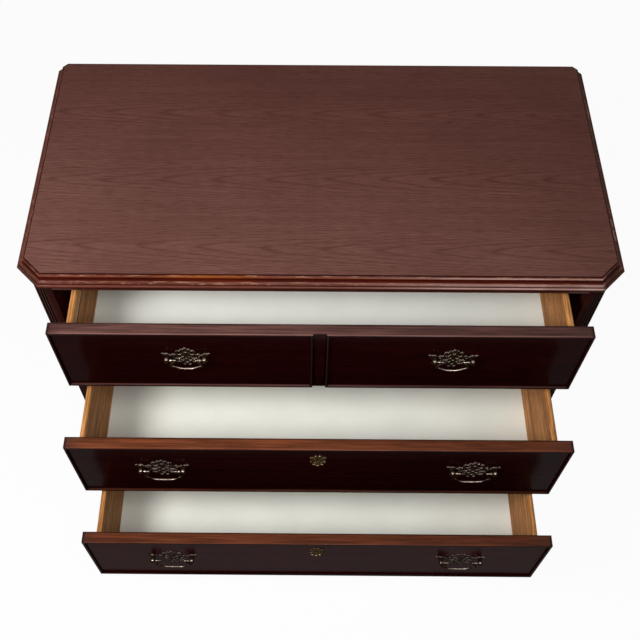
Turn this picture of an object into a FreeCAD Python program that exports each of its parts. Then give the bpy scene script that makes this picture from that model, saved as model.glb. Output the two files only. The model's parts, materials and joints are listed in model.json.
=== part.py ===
import FreeCAD, Part
import math
import os

# A low chest of three drawers on bracket feet. Millimetres, +X to the right, +Y to the back, +Z up.
# The origin is on the floor under the middle of the case. The drawers stand open, as they rest.

# Top board and its moulded edge
top_width = 1004.0
top_depth = 518.0
top_thickness = 24.0
top_overhang = 12.5
top_back_overhang = 6.0
front_clip = 40.0
back_clip = 16.0
edge_width = 16.0
edge_quirk_width = 0.9
edge_quirk_depth = 0.9
edge_thumb_width = 3.5
edge_thumb_drop = 5.1
edge_thumb_bulge = 1.3
edge_step = 1.3
edge_cove_sag = 1.4
edge_fillet = 1.6
edge_torus_radius = 4.2

# Case
side_thickness = 19.0
post_width = 44.5
post_depth = 50.0
tongue_length = 8.0
tongue_thickness = 7.0
flute_count = 3
flute_width = 11.8
flute_depth = 3.4
flute_pitch = 13.6
flute_stop = 24.0
rail_depth = 70.0
top_rail_height = 20.0
divider_height = 20.0
bottom_rail_height = 25.0
tenon_length = 16.0
tenon_shoulder = 4.0
tenon_inset = 16.0
tenon_depth = 26.0
back_thickness = 5.0
back_rabbet = 10.0
rear_rail_thickness = 25.0
rear_rail_height = 45.0
screw_count = 4
screw_radius = 2.2
screw_head_radius = 4.2
screw_head_height = 2.4
screw_bite = 12.0
screw_inset = 24.0
screw_end_margin = 40.0
screw_clearance = 0.1

# Base
foot_height = 106.0
base_board_thickness = 18.0
base_height = 30.0
base_projection = 12.0
base_step = 2.0
base_shoulder = 14.0
base_cove_sag = 2.4
foot_inner = 12.0
foot_set_back = 2.0
foot_bulge = 3.0
foot_waist = 7.0
foot_toe_set_back = 1.5
foot_front_reach = 150.0
foot_side_reach = 135.0
foot_rear_reach = 120.0
foot_ankle = 60.0
foot_knee_out = 26.0
foot_knee_height = 60.0
foot_bracket_web = 22.0
foot_scroll_sag = 9.0
foot_brace_thickness = 19.0
foot_block_size = 44.0
foot_block_lift = 2.0

# Drawers, from the top down
upper_front_height = 177.0
lower_front_height = 195.5
upper_floor_lift = 31.0
lower_floor_lift = 28.5
upper_pull_out = 81.0
middle_pull_out = 191.5
lower_pull_out = 286.5
front_gap = 1.5
front_thickness = 18.0
front_overlap = 24.0
bead_thickness = 4.5
bead_projection = 4.4
bead_depth = 12.0
bead_round = 1.9
round_share = 0.45
stile_width = 22.5
stile_projection = 0.4
box_side_thickness = 10.5
upper_side_drop = 18.0
lower_side_drop = 5.0
box_side_round = 4.0
side_groove_drop = 24.0
side_groove_height = 6.0
side_groove_depth = 3.5
box_rear_gap = 10.0
box_back_thickness = 11.0
box_back_inset = 20.0
box_back_drop = 8.0
box_dado = 4.0
floor_thickness = 5.0
floor_groove = 4.5
floor_lip = 10.0
dovetail_length = 7.0
dovetail_neck = 5.0
dovetail_flare = 8.0
dovetail_stop = 9.0

# Runners, guides and stops
slide_clearance = 0.3
guide_clearance = 1.0
guide_height = 30.0
runner_reach = 24.0
kick_gap = 3.0
stop_width = 40.0
stop_depth = 25.0
stop_height = 9.0
stop_spacing = 600.0

# Brass pulls
upper_pull_spacing = 449.0
lower_pull_spacing = 563.0
upper_pull_drop = 72.0
lower_pull_drop = 83.5
small_bore = 63.5
large_bore = 76.2
small_plate_width = 83.0
large_plate_width = 97.0
small_plate_rise = 25.0
large_plate_rise = 27.5
small_plate_fall = 32.0
large_plate_fall = 38.0
plate_thickness = 1.6
post_shank_radius = 2.4
post_hole_clearance = 0.1
post_base_radius = 5.2
post_base_height = 2.0
post_neck_radius = 3.0
post_ring_radius = 4.2
post_ring_start = 5.2
post_ring_end = 6.6
post_ball_radius = 5.0
post_reach = 10.5
post_tail = 7.0
nut_radius = 4.6
nut_height = 4.0
nut_clearance = 0.05
pin_radius = 1.6
pin_clearance = 0.05
pin_past_centre = 3.5
collar_gap = 0.3
collar_radius = 2.9
collar_length = 3.0
bail_radius = 1.6
small_bail_shoulder = 16.0
large_bail_shoulder = 22.5
small_bail_drop = 27.0
large_bail_drop = 37.0
bail_neck_reach = 6.5
bail_flare = 9.8
bail_foot_inset = 15.8
bail_neck_bend = 2.6
bail_shoulder_bend = 3.5
bail_foot_bend = 14.0
bail_knob_radius = 2.3

# Key plates
escutcheon_drop = 47.0
escutcheon_half_width = 11.2
escutcheon_rise = 14.0
escutcheon_fall = 26.0
escutcheon_thickness = 1.4
lobe_radius = 3.2
lobe_height = 0.8
piercing_radius = 1.7
keyhole_radius = 2.6
keyhole_slot_width = 2.8
keyhole_slot_length = 8.0
keyhole_depth = 6.0

# Places worked out from the sizes above
V = FreeCAD.Vector
UP = V(0, 0, 1)
top_half = top_width / 2
case_half = top_half - top_overhang
case_depth = top_depth - top_overhang - top_back_overhang
case_front = -case_depth / 2
case_back = case_depth / 2
top_front = case_front - top_overhang
top_back = case_back + top_back_overhang
cant = front_clip - top_overhang * (2 - math.sqrt(2))
opening_half = case_half - post_width
side_inner = case_half - side_thickness
front_half = opening_half - front_gap
box_half = front_half - front_overlap
rail_back = case_front + rail_depth
back_inner = case_back - back_thickness
rear_inner = back_inner - rear_rail_thickness
board_top = foot_height + base_board_thickness
lower_front_bottom = board_top + bottom_rail_height + front_gap
drawer_pitch = lower_front_height + 2 * front_gap + divider_height
middle_front_bottom = lower_front_bottom + drawer_pitch
upper_front_bottom = middle_front_bottom + drawer_pitch
rail_bottom = upper_front_bottom + upper_front_height + front_gap
case_top = rail_bottom + top_rail_height
chest_height = case_top + top_thickness
runner_inner = box_half - runner_reach


class Drawer:
    """Heights and handle sizes of one drawer, with its pull-out from the closed place."""

    def __init__(self, name, bottom, height, floor_lift, side_drop, pull_out, spacing, drop, handle, halves):
        self.name = name
        self.bottom = bottom
        self.top = bottom + height
        self.floor = bottom + floor_lift
        self.side_bottom = self.floor - floor_thickness - floor_lip
        self.side_top = self.top - side_drop
        self.pull_out = pull_out
        self.pull_spacing = spacing
        self.pull_height = self.top - drop
        self.bore, self.plate_width, self.plate_rise, self.plate_fall = handle[:4]
        self.bail_shoulder, self.bail_drop = handle[4:]
        self.halves = halves


small_handle = (small_bore, small_plate_width, small_plate_rise, small_plate_fall,
                small_bail_shoulder, small_bail_drop)
large_handle = (large_bore, large_plate_width, large_plate_rise, large_plate_fall,
                large_bail_shoulder, large_bail_drop)
drawers = [
    Drawer("top_drawer", upper_front_bottom, upper_front_height, upper_floor_lift, upper_side_drop,
           upper_pull_out, upper_pull_spacing, upper_pull_drop, small_handle, True),
    Drawer("middle_drawer", middle_front_bottom, lower_front_height, lower_floor_lift, lower_side_drop,
           middle_pull_out, lower_pull_spacing, lower_pull_drop, large_handle, False),
    Drawer("bottom_drawer", lower_front_bottom, lower_front_height, lower_floor_lift, lower_side_drop,
           lower_pull_out, lower_pull_spacing, lower_pull_drop, large_handle, False),
]


# Shape helpers
def block(x0, x1, y0, y1, z0, z1):
    """A box between two corners."""
    return Part.makeBox(x1 - x0, y1 - y0, z1 - z0, V(x0, y0, z0))


def trace(start, steps, place):
    """A closed face from a start point and steps: a step is an end point, or a mid point and an end."""
    edges = []
    here = start
    for step in steps + [(start,)]:
        end = step[-1]
        if math.dist(here, end) < 1e-6:
            continue
        if len(step) == 1:
            edges.append(Part.makeLine(place(*here), place(*end)))
        else:
            edges.append(Part.Arc(place(*here), place(*step[0]), place(*end)).toShape())
        here = end
    return Part.Face(Part.Wire(edges))


def bowed(a, b, sag):
    """An arc step from a to b whose middle stands off to the left of the chord by sag."""
    length = math.dist(a, b)
    middle = ((a[0] + b[0]) / 2, (a[1] + b[1]) / 2)
    left = (-(b[1] - a[1]) / length, (b[0] - a[0]) / length)
    return ((middle[0] + left[0] * sag, middle[1] + left[1] * sag), b)


def prism_plan(points, z0, z1):
    """A straight prism over a polygon in plan."""
    face = Part.Face(Part.makePolygon([V(p.x, p.y, z0) for p in points + points[:1]]))
    return face.extrude(UP * (z1 - z0))


def prism_front(points, y0, y1):
    """A straight prism over a polygon of (x, z) points, running along Y."""
    face = Part.Face(Part.makePolygon([V(x, y0, z) for x, z in points + points[:1]]))
    return face.extrude(V(0, y1 - y0, 0))


def cylinder(radius, start, end):
    """A round bar between two points."""
    return Part.makeCylinder(radius, (end - start).Length, start, end - start)


def mirrored(shape):
    """The same piece on the other side of the middle plane."""
    return shape.mirror(V(0, 0, 0), V(1, 0, 0))


def both_sides(shape):
    """A left and a right copy of a piece drawn on the right."""
    return [mirrored(shape), shape]


def outward(a, b):
    """The unit normal to the right of the way from a to b, in plan."""
    way = (b - a).normalize()
    return V(way.y, -way.x, 0)


def offset_path(path, distance, closed):
    """A plan path moved sideways, mitred at its corners and square at open ends."""
    moved = []
    last = len(path) - 1
    for i, point in enumerate(path):
        normals = []
        if closed or i > 0:
            normals.append(outward(path[i - 1], point))
        if closed or i < last:
            normals.append(outward(point, path[(i + 1) % len(path)]))
        if len(normals) == 2:
            shift = (normals[0] + normals[1]) * (1 / (1 + normals[0].dot(normals[1])))
        else:
            shift = normals[0]
        moved.append(point + shift * distance)
    return moved


def mitred_strips(path, closed, profile, inner, outer, z0, z1):
    """Strips of one profile along each run of a path, cut to the mitres between them.

    The profile is a start point and steps in (distance outward, height)."""
    near = offset_path(path, inner, closed)
    far = offset_path(path, outer, closed)
    strips = []
    count = len(path) if closed else len(path) - 1
    for i in range(count):
        j = (i + 1) % len(path)
        run = path[j] - path[i]
        way = V(run.x, run.y, 0).normalize()
        side = outward(path[i], path[j])
        spare = 2 * (outer - inner)
        base = path[i] - way * spare
        face = trace(profile[0], profile[1], lambda u, z: base + side * u + UP * z)
        bar = face.extrude(way * (run.Length + 2 * spare))
        strips.append(bar.common(prism_plan([near[i], near[j], far[j], far[i]], z0, z1)).Solids[0])
    return strips


def save(name, pieces):
    """Write one node: a single solid, or a group of separate solids."""
    shape = pieces[0] if len(pieces) == 1 else Part.makeCompound(pieces)
    shape.exportStep("parts/" + name + ".step")


# Top board
def top_outline():
    """Plan of the top at its widest: a rectangle with its four corners clipped."""
    return [
        V(-top_half, top_back - back_clip, 0), V(-top_half, top_front + front_clip, 0),
        V(-top_half + front_clip, top_front, 0), V(top_half - front_clip, top_front, 0),
        V(top_half, top_front + front_clip, 0), V(top_half, top_back - back_clip, 0),
        V(top_half - back_clip, top_back, 0), V(-top_half + back_clip, top_back, 0),
    ]


def edge_profile():
    """Section of the top's edge: quirk, thumb, cove, fillet and a torus at its foot."""
    quirk_z = chest_height - edge_quirk_depth
    torus_x = -edge_torus_radius
    thumb_start = (-edge_width + edge_quirk_width, quirk_z)
    thumb_end = (thumb_start[0] + edge_thumb_width, quirk_z - edge_thumb_drop)
    cove_start = (thumb_end[0], thumb_end[1] - edge_step)
    cove_end = (torus_x - edge_fillet, case_top + 2 * edge_torus_radius + edge_fillet)
    return (-edge_width, case_top), [
        ((-edge_width, quirk_z),),
        (thumb_start,),
        bowed(thumb_start, thumb_end, edge_thumb_bulge),
        (cove_start,),
        bowed(cove_start, cove_end, -edge_cove_sag),
        ((torus_x, cove_end[1]),),
        ((torus_x, case_top + 2 * edge_torus_radius),),
        ((0.0, case_top + edge_torus_radius), (torus_x, case_top)),
    ]


def screw_places():
    """Plan points of the screws that hold the top down, on the right-hand cleat."""
    first = rail_back + screw_end_margin
    step = (rear_inner - screw_end_margin - first) / (screw_count - 1)
    return [V(side_inner - screw_inset, first + i * step, 0) for i in range(screw_count)]


def screw_holes(z0, z1):
    """Clearance holes for the screws on both sides."""
    holes = [cylinder(screw_radius + screw_clearance, p + UP * z0, p + UP * z1) for p in screw_places()]
    return [hole for right in holes for hole in both_sides(right)]


def build_top():
    outline = top_outline()
    panel = prism_plan(offset_path(outline, -edge_width, True), case_top, chest_height)
    save("top_panel", [panel.cut(screw_holes(case_top, case_top + screw_bite + screw_clearance))])
    strips = mitred_strips(outline, True, edge_profile(), -edge_width, 0, case_top, chest_height)
    save("top_edge_front", [strips[2]])
    save("top_edge_back", [strips[6]])
    save("top_edge_sides", [strips[0], strips[4]])
    save("top_edge_corners", [strips[1], strips[3], strips[5], strips[7]])


# Case
def case_outline():
    """Open plan path round the case, from the back of the left side to the back of the right."""
    return [
        V(-case_half, case_back, 0), V(-case_half, case_front + cant, 0),
        V(-case_half + cant, case_front, 0), V(case_half - cant, case_front, 0),
        V(case_half, case_front + cant, 0), V(case_half, case_back, 0),
    ]


def rail_levels():
    """Bottom and top of each front rail, with its name."""
    upper, middle, lower = drawers
    return [
        ("top_rail", rail_bottom, case_top),
        ("upper_rail", middle.top + front_gap, upper.bottom - front_gap),
        ("lower_rail", lower.top + front_gap, middle.bottom - front_gap),
        ("bottom_rail", board_top, lower.bottom - front_gap),
    ]


def tenon(z0, z1):
    """The tenon on the right-hand end of a rail."""
    near = case_front + tenon_inset
    return block(opening_half, opening_half + tenon_length, near, near + tenon_depth,
                 z0 + tenon_shoulder, z1 - tenon_shoulder)


def build_rails():
    for name, z0, z1 in rail_levels():
        bar = block(-opening_half, opening_half, case_front, rail_back, z0, z1)
        save(name, [bar.fuse(both_sides(tenon(z0, z1))).removeSplitter()])


def side_tongue():
    """The tongue of the right side panel, in the back of the corner post."""
    middle = case_half - side_thickness / 2
    joint = case_front + post_depth
    return block(middle - tongue_thickness / 2, middle + tongue_thickness / 2,
                 joint - tongue_length, joint, board_top, case_top)


def flute(along):
    """A stopped flute in the canted face of the right post, at a distance from its middle."""
    radius = (flute_width ** 2 / 4 + flute_depth ** 2) / (2 * flute_depth)
    face_middle = V(case_half - cant / 2, case_front + cant / 2, 0)
    way = V(1, 1, 0).normalize()
    axis = face_middle + way * along + V(1, -1, 0).normalize() * (radius - flute_depth)
    low = axis + UP * (board_top + base_height + flute_stop)
    high = axis + UP * (case_top - flute_stop)
    ends = [Part.makeSphere(radius, low), Part.makeSphere(radius, high)]
    return cylinder(radius, low, high).fuse(ends)


def build_posts():
    plan = [
        V(opening_half, case_front, 0), V(case_half - cant, case_front, 0),
        V(case_half, case_front + cant, 0), V(case_half, case_front + post_depth, 0),
        V(opening_half, case_front + post_depth, 0),
    ]
    post = prism_plan(plan, board_top, case_top)
    first = -flute_pitch * (flute_count - 1) / 2
    for i in range(flute_count):
        post = post.cut(flute(first + i * flute_pitch))
    post = post.cut([tenon(z0, z1) for _, z0, z1 in rail_levels()])
    post = post.cut(side_tongue())
    save("corner_post_left", [mirrored(post)])
    save("corner_post_right", [post])


def build_sides_and_back():
    panel = block(side_inner, case_half, case_front + post_depth, case_back, board_top, case_top)
    panel = panel.fuse(side_tongue()).removeSplitter()
    rabbet = side_inner + back_rabbet
    back = block(-rabbet, rabbet, back_inner, case_back, board_top, case_top)
    panel = panel.cut(back)
    save("side_panel_left", [mirrored(panel)])
    save("side_panel_right", [panel])
    save("back_panel", [back])
    low = block(-side_inner, side_inner, rear_inner, back_inner, board_top, board_top + rear_rail_height)
    high = block(-side_inner, side_inner, rear_inner, back_inner, case_top - rear_rail_height, case_top)
    save("rear_rails", [low, high])


def build_cleats_and_screws():
    low = drawers[0].side_top + kick_gap
    cleat = block(runner_inner, side_inner, rail_back, rear_inner, low, case_top)
    cleats = [piece.cut(screw_holes(low, case_top)) for piece in both_sides(cleat)]
    save("top_cleats", cleats)
    screws = []
    for place in screw_places():
        shank = cylinder(screw_radius, place + UP * low, place + UP * (case_top + screw_bite))
        head = cylinder(screw_head_radius, place + UP * (low - screw_head_height), place + UP * low)
        screws += both_sides(shank.fuse(head).removeSplitter())
    save("top_screws", screws)


def build_runners():
    """Runners under the drawers' sides, guides beside them, and stops on the front rails."""
    floors = [below.side_top + kick_gap for below in drawers[1:]] + [board_top]
    runners = []
    guides = []
    stops = []
    for drawer, floor in zip(drawers, floors):
        shelf = drawer.side_bottom - slide_clearance
        runners += both_sides(block(runner_inner, side_inner, rail_back, rear_inner, floor, shelf))
        guides += both_sides(block(box_half + guide_clearance, side_inner, rail_back, rear_inner,
                                   shelf, shelf + guide_height))
        near = case_front + front_thickness + slide_clearance
        rail_top = drawer.bottom - front_gap
        middle = stop_spacing / 2
        stops += both_sides(block(middle - stop_width / 2, middle + stop_width / 2,
                                  near, near + stop_depth, rail_top, rail_top + stop_height))
    save("drawer_runners", runners)
    save("drawer_guides", guides)
    save("drawer_stops", stops)


# Base
def base_profile():
    """Section of the base moulding: an upright face, a cove above it and a fillet at its head."""
    top = foot_height + base_height
    cove_start = (base_projection, foot_height + base_shoulder)
    cove_end = (2 * base_step, top - base_step)
    return (0.0, foot_height), [
        ((base_projection, foot_height),),
        (cove_start,),
        bowed(cove_start, cove_end, -base_cove_sag),
        ((base_step, top - base_step),),
        ((base_step, top),),
        ((0.0, top),),
    ]


def foot_profile():
    """Section of a bracket foot: an ogee that swells under the moulding and draws in at the ankle."""
    head = base_projection - foot_set_back
    toe = head - foot_toe_set_back
    middle = (head - foot_waist / 2, foot_height / 2)
    swell = bowed((head, foot_height), middle, foot_bulge)
    hollow = bowed(middle, (toe, 0.0), -foot_bulge)
    return (-foot_inner, 0.0), [((-foot_inner, foot_height),), ((head, foot_height),), swell, hollow]


def scroll_cut(corner, way, side, reach):
    """The scrolled opening under a bracket, from its ankle to its inner end."""
    knee = (foot_ankle + foot_knee_out, foot_knee_height)
    web = foot_height - foot_bracket_web
    start = (foot_ankle, 0.0)
    shoulder = ((knee[0] + reach) / 2, web)
    face = trace(start, [
        bowed(start, knee, foot_scroll_sag),
        bowed(knee, shoulder, foot_scroll_sag),
        ((reach, web),),
        ((reach, 0.0),),
    ], lambda s, z: corner + way * s + UP * z)
    depth = 2 * (base_projection + foot_inner)
    face.translate(side * (-depth))
    return face.extrude(side * (2 * depth))


def build_front_foot():
    """Side, canted and front pieces of the left front foot, mitred together."""
    path = [
        V(-case_half, case_front + cant + foot_side_reach, 0), V(-case_half, case_front + cant, 0),
        V(-case_half + cant, case_front, 0), V(-case_half + cant + foot_front_reach, case_front, 0),
    ]
    pieces = mitred_strips(path, False, foot_profile(), -foot_inner, base_projection + foot_bulge,
                           0, foot_height)
    side_cut = scroll_cut(path[1], V(0, 1, 0), V(-1, 0, 0), foot_side_reach)
    front_cut = scroll_cut(path[2], V(1, 0, 0), V(0, -1, 0), foot_front_reach)
    return [pieces[0].cut(side_cut), pieces[1], pieces[2].cut(front_cut)]


def build_rear_foot():
    """Side bracket and plain rear brace of the left rear foot."""
    path = [V(-case_half, case_back, 0), V(-case_half, case_back - foot_side_reach, 0)]
    bracket = mitred_strips(path, False, foot_profile(), -foot_inner, base_projection + foot_bulge,
                            0, foot_height)[0]
    bracket = bracket.cut(scroll_cut(path[0], V(0, -1, 0), V(-1, 0, 0), foot_side_reach))
    near = case_half - foot_inner
    brace = prism_front([
        (-near, 0), (-near + foot_ankle, 0), (-near + foot_rear_reach, foot_height - foot_bracket_web),
        (-near + foot_rear_reach, foot_height), (-near, foot_height),
    ], case_back - foot_brace_thickness, case_back)
    return [bracket, brace]


def front_foot_block():
    """Corner block that carries the left front foot, clipped to the canted piece."""
    corner = offset_path(case_outline(), -foot_inner, False)
    far = corner[1].x + foot_block_size + cant
    deep = corner[2].y + foot_block_size + cant
    plan = [corner[1], corner[2], V(far, corner[2].y, 0), V(far, deep, 0), V(corner[1].x, deep, 0)]
    return prism_plan(plan, foot_block_lift, foot_height)


def rear_foot_block():
    """Corner block that carries the left rear foot."""
    near = -case_half + foot_inner
    back = case_back - foot_brace_thickness
    return block(near, near + foot_block_size, back - foot_block_size, back, foot_block_lift, foot_height)


def build_base():
    outline = case_outline()
    save("base_board", [prism_plan(outline, foot_height, board_top)])
    save("base_moulding", mitred_strips(outline, False, base_profile(), 0, base_projection,
                                        foot_height, foot_height + base_height))
    for name, pieces in (("foot_front", build_front_foot()), ("foot_rear", build_rear_foot())):
        save(name + "_left", pieces)
        save(name + "_right", [mirrored(piece) for piece in pieces])
    save("foot_blocks", both_sides(front_foot_block()) + both_sides(rear_foot_block()))


# Drawer boxes
def bead_frame(x0, x1, z0, z1):
    """Four mitred bead strips round a panel, rounded where they stand proud: top, right, bottom, left."""
    t = bead_thickness
    ring = block(x0, x1, -bead_projection, bead_depth, z0, z1)
    ring = ring.cut(block(x0 + t, x1 - t, -bead_projection, bead_depth, z0 + t, z1 - t))
    front_edges = [edge for edge in ring.Edges
                   if all(abs(v.Y + bead_projection) < 1e-6 for v in edge.Vertexes)]
    ring = ring.makeFillet(min(bead_round, round_share * t), front_edges)
    outer = [(x0, z1), (x1, z1), (x1, z0), (x0, z0)]
    inner = [(x0 + t, z1 - t), (x1 - t, z1 - t), (x1 - t, z0 + t), (x0 + t, z0 + t)]
    strips = []
    for i in range(4):
        j = (i + 1) % 4
        wedge = prism_front([outer[i], outer[j], inner[j], inner[i]], -bead_projection, bead_depth)
        strips.append(ring.common(wedge).Solids[0])
    return strips


def front_beads(drawer):
    """The beads of a drawer front. The strip along the top covers the whole thickness of the board."""
    if drawer.halves:
        frames = [bead_frame(-front_half, -stile_width / 2, drawer.bottom, drawer.top),
                  bead_frame(stile_width / 2, front_half, drawer.bottom, drawer.top)]
    else:
        frames = [bead_frame(-front_half, front_half, drawer.bottom, drawer.top)]
    cap = block(-front_half, front_half, bead_depth, front_thickness,
                drawer.top - bead_thickness, drawer.top)
    cap = cap.fuse([frame[0] for frame in frames]).removeSplitter()
    return [cap] + [strip for frame in frames for strip in frame[1:]]


def centre_stile(drawer):
    """The upright between the two mock fronts of the top drawer."""
    return block(-stile_width / 2, stile_width / 2, -stile_projection, bead_depth,
                 drawer.bottom, drawer.top)


def side_dovetail(drawer, z0):
    """The dovetailed end of the right drawer side, in the back of the front board."""
    middle = box_half - box_side_thickness / 2
    neck = dovetail_neck / 2
    flare = dovetail_flare / 2
    root = front_thickness
    end = front_thickness - dovetail_length
    plan = [V(middle - neck, root, 0), V(middle - flare, end, 0),
            V(middle + flare, end, 0), V(middle + neck, root, 0)]
    return prism_plan(plan, z0, drawer.side_top - dovetail_stop)


def box_rear():
    """Depth of the back end of a drawer's sides behind the face of its front."""
    return rear_inner - box_rear_gap - case_front


def floor_board(drawer):
    """The bottom, in grooves of the sides and the front, running under the back."""
    half = box_half - box_side_thickness + floor_groove
    return block(-half, half, front_thickness - floor_groove, box_rear() - slide_clearance,
                 drawer.floor - floor_thickness, drawer.floor)


def back_board(drawer):
    """The back, on the bottom and in dadoes of the sides."""
    half = box_half - box_side_thickness + box_dado
    rear = box_rear() - box_back_inset
    return block(-half, half, rear - box_back_thickness, rear, drawer.floor, drawer.side_top - box_back_drop)


def side_board(drawer):
    """The right side with rounded top edges, its dovetail, groove and dado."""
    inner = box_half - box_side_thickness
    side = block(inner, box_half, front_thickness, box_rear(), drawer.side_bottom, drawer.side_top)
    long_top = [edge for edge in side.Edges
                if all(abs(v.Z - drawer.side_top) < 1e-6 for v in edge.Vertexes)
                and abs(edge.Vertexes[0].X - edge.Vertexes[1].X) < 1e-6]
    side = side.makeFillet(min(box_side_round, round_share * box_side_thickness), long_top)
    side = side.fuse(side_dovetail(drawer, drawer.side_bottom)).removeSplitter()
    return side.cut([floor_board(drawer), back_board(drawer)])


# Brass fittings
def plate_point(drawer, centre, x, z):
    """A point of a plate, given as shares of its half width and of its rise or fall from the bolts."""
    reach = drawer.plate_rise if z > 0 else drawer.plate_fall
    return centre + V(x * drawer.plate_width / 2, 0, z * reach)


def plate_outline(drawer, centre):
    """Bat-wing plate outline: a smooth closed curve with a trefoil peak, scrolled wings and a forked foot."""
    half = [
        (0.0, 1.0), (0.055, 0.95), (0.085, 0.82), (0.145, 0.87), (0.20, 0.78), (0.24, 0.64),
        (0.32, 0.68), (0.385, 0.58), (0.40, 0.38), (0.44, 0.16), (0.53, 0.21), (0.62, 0.05),
        (0.68, 0.17), (0.77, 0.27), (0.86, 0.24), (0.95, 0.30), (1.0, 0.24), (0.955, 0.06),
        (0.90, -0.04), (0.87, -0.15), (0.77, -0.21), (0.66, -0.17), (0.59, -0.10), (0.54, -0.20),
        (0.54, -0.40), (0.46, -0.52), (0.42, -0.70), (0.31, -0.76), (0.235, -0.72), (0.20, -0.86),
        (0.12, -0.99), (0.055, -0.95),
    ]
    left = [(-x, z) for x, z in reversed(half[1:])]
    points = [plate_point(drawer, centre, x, z) for x, z in half + [(0.0, -0.86)] + left]
    curve = Part.BSplineCurve()
    curve.interpolate(Points=points, PeriodicFlag=True)
    return Part.Face(Part.Wire([curve.toShape()]))


def slot_cut(a, b, radius, depth):
    """A round-ended slot between two points of a face, cut to a depth in front of it."""
    out = V(0, -depth, 0)
    eye = cylinder(radius, a, a + out)
    if (b - a).Length < radius / 10:
        return eye
    along = (b - a).normalize()
    across = V(-along.z, 0, along.x) * radius
    bar = Part.Face(Part.makePolygon([a + across, b + across, b - across, a - across, a + across]))
    return eye.fuse([bar.extrude(out), cylinder(radius, b, b + out)])


def plate_piercings(drawer, centre):
    """Openings of a pierced plate, mirrored about its middle: each a slot, or an eye where its ends meet."""
    slots = [
        (0.0, 0.54, 0.0, 0.54, 0.062), (0.205, 0.46, 0.255, 0.29, 0.082), (0.145, -0.02, 0.145, -0.02, 0.067),
        (0.277, -0.156, 0.373, -0.175, 0.075), (0.0, -0.20, 0.0, -0.20, 0.060),
        (0.147, -0.37, 0.147, -0.37, 0.066), (0.277, -0.54, 0.365, -0.525, 0.065),
        (0.296, -0.353, 0.296, -0.353, 0.036), (0.0, -0.578, 0.0, -0.578, 0.068),
        (0.104, -0.81, 0.104, -0.81, 0.057), (0.53, -0.016, 0.53, -0.016, 0.040),
        (0.47, -0.297, 0.47, -0.297, 0.040),
    ]
    cuts = []
    for x0, z0, x1, z1, share in slots:
        for sign in ((1, -1) if x0 else (1,)):
            a = plate_point(drawer, centre, sign * x0, z0)
            b = plate_point(drawer, centre, sign * x1, z1)
            cuts.append(slot_cut(a, b, share * drawer.plate_width / 2, plate_thickness))
    return cuts


def post_places(drawer, centre):
    """The two bolt places of a pull."""
    return [centre + V(side * drawer.bore / 2, 0, 0) for side in (-1, 1)]


def pull_plate(drawer, centre):
    plate = plate_outline(drawer, centre).extrude(V(0, -plate_thickness, 0))
    hole = post_shank_radius + post_hole_clearance
    cuts = plate_piercings(drawer, centre)
    cuts += [cylinder(hole, p, p - V(0, plate_thickness, 0)) for p in post_places(drawer, centre)]
    return plate.cut(cuts)


def pull_post(place):
    """A turned post with a ringed neck and a ball head, bored for the bail, and its shank."""
    base = plate_thickness + post_base_height
    shank = cylinder(post_shank_radius, place + V(0, front_thickness + post_tail, 0),
                     place - V(0, base, 0))
    rosette = cylinder(post_base_radius, place - V(0, plate_thickness, 0), place - V(0, base, 0))
    neck = cylinder(post_neck_radius, place - V(0, base, 0), place - V(0, post_reach, 0))
    ring = cylinder(post_ring_radius, place - V(0, post_ring_start, 0), place - V(0, post_ring_end, 0))
    ball = Part.makeSphere(post_ball_radius, place - V(0, post_reach, 0))
    post = shank.fuse([rosette, neck, ring, ball]).removeSplitter()
    across = V(post_ball_radius, 0, 0)
    axis = place - V(0, post_reach, 0)
    return post.cut(cylinder(pin_radius + pin_clearance, axis - across, axis + across))


def pull_nut(place):
    """A hexagon nut on the inside of the drawer front."""
    start = place + V(0, front_thickness, 0)
    corners = []
    for i in range(7):
        angle = math.radians(60 * i)
        corners.append(start + V(nut_radius * math.cos(angle), 0, nut_radius * math.sin(angle)))
    body = Part.Face(Part.makePolygon(corners)).extrude(V(0, nut_height, 0))
    bore = cylinder(post_shank_radius + nut_clearance, start, start + V(0, nut_height, 0))
    return body.cut(bore)


def bent_bar(points, bends, radius):
    """A round bar of straight runs with a tangent bend at each inner corner."""
    pieces = []
    here = points[0]
    for i, bend in enumerate(bends, start=1):
        before = (points[i] - points[i - 1]).normalize()
        after = (points[i + 1] - points[i]).normalize()
        turn = before.getAngle(after)
        trim = bend * math.tan(turn / 2)
        start = points[i] - before * trim
        pivot = points[i] + (after - before).normalize() * (bend / math.cos(turn / 2))
        section = Part.Face(Part.Wire([Part.makeCircle(radius, start, before)]))
        pieces.append(cylinder(radius, here, start))
        pieces.append(section.revolve(pivot, before.cross(after), math.degrees(turn)))
        here = points[i] + after * trim
    pieces.append(cylinder(radius, here, points[-1]))
    return pieces


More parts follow.
